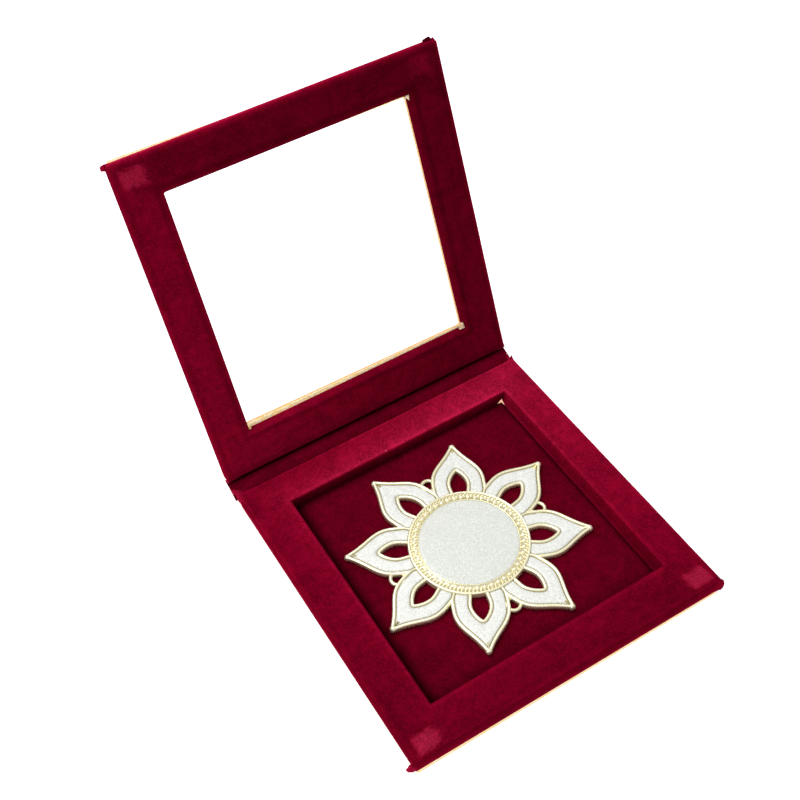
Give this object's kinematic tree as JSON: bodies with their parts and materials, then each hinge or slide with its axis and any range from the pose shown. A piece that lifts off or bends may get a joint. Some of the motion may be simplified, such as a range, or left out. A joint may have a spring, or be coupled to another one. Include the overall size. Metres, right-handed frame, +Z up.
{
  "type": "offering plate",
  "caption": "Flower-shaped gilt offering plate with glitter-filled petals round a beaded medallion, lying in an open velvet-covered case with a windowed lid.",
  "frame": {"origin": "centre of the case's flat underside", "axes": "+X along the hinge, +Y from the free edge towards the hinge, +Z up"},
  "size_m": [0.172, 0.2516, 0.1697],
  "materials": {
    "gold_paper": "greyboard wrapped in embossed metallic gold foil paper, satin",
    "red_velvet": "deep red velvet pile, matt with a soft sheen",
    "greyboard": "bare compressed greyboard, matt",
    "magnet_steel": "nickel-coated disc magnets, satin",
    "gold_plating": "pale gold-plated casting, polished",
    "silver_glitter": "fine silver-white glitter film, sparkling"
  },
  "bodies": {
    "base": {"base_board": "gold_paper", "base_rail_front": "greyboard", "base_rail_back": "greyboard", "base_rail_left": "greyboard", "base_rail_right": "greyboard", "base_velvet_wrap": "red_velvet", "base_floor_pad": "red_velvet", "base_magnet_left": "magnet_steel", "base_magnet_right": "magnet_steel", "base_hinge_strip": "gold_paper"},
    "spine": {"spine_board": "gold_paper", "spine_lining": "red_velvet"},
    "lid": {"lid_board": "gold_paper", "lid_rail_front": "greyboard", "lid_rail_back": "greyboard", "lid_rail_left": "greyboard", "lid_rail_right": "greyboard", "lid_velvet_wrap": "red_velvet", "lid_magnet_left": "magnet_steel", "lid_magnet_right": "magnet_steel", "lid_hinge_strip": "gold_paper"},
    "plate": {"plate_casting": "gold_plating", "petal_inlay_1": "silver_glitter", "petal_inlay_2": "silver_glitter", "petal_inlay_3": "silver_glitter", "petal_inlay_4": "silver_glitter", "petal_inlay_5": "silver_glitter", "petal_inlay_6": "silver_glitter", "petal_inlay_7": "silver_glitter", "petal_inlay_8": "silver_glitter", "centre_inlay": "silver_glitter"}
  },
  "joints": [
    {"name": "spine_fold", "type": "hinge", "parent": "base", "child": "spine", "pos_m": [0, 0.0862, 0.003], "axis": [-1, 0, 0], "range_deg": [-70.4, 19.6]},
    {"name": "lid_fold", "type": "hinge", "parent": "spine", "child": "lid", "pos_m": [0, 0.0976, 0.00706], "axis": [-1, 0, 0], "range_deg": [-41.7, 48.3]},
    {"name": "plate_lift", "type": "slide", "parent": "base", "child": "plate", "axis": [0, 0, 1], "range_m": [0, 0.06]}
  ]
}
